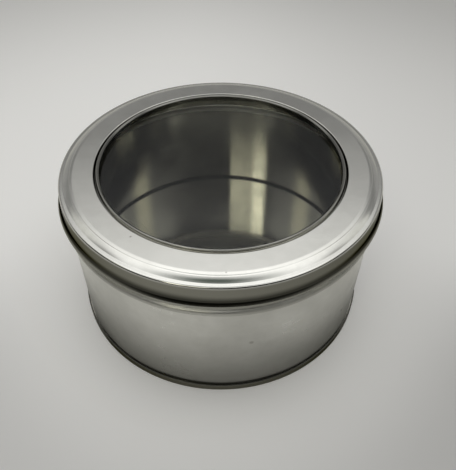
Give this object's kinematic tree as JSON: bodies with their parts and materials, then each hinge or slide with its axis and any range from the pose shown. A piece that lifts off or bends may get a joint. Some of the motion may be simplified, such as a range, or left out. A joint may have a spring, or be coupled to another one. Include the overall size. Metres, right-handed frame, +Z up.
{
  "type": "round slip-lid tin with window",
  "caption": "Round bare tinplate tin with a slip-on lid; the lid has a rolled rim round a clear film window, and the wall has a stop bead and a seamed floor",
  "frame": {"origin": "middle of the base, in the plane that the tin stands on", "axes": "+Z up through the middle of the lid; +Y is the back and -Y the front"},
  "size_m": [0.1264, 0.1264, 0.0652],
  "materials": {
    "tinplate_wall": "satin bare tinplate",
    "tinplate_end": "bright bare tinplate",
    "tinplate_lid": "satin bare tinplate",
    "clear_film": "clear glossy film"
  },
  "bodies": {
    "root": {"body": "tinplate_wall", "bottom_end": "tinplate_end", "lid": "tinplate_lid", "window": "clear_film"}
  },
  "joints": []
}
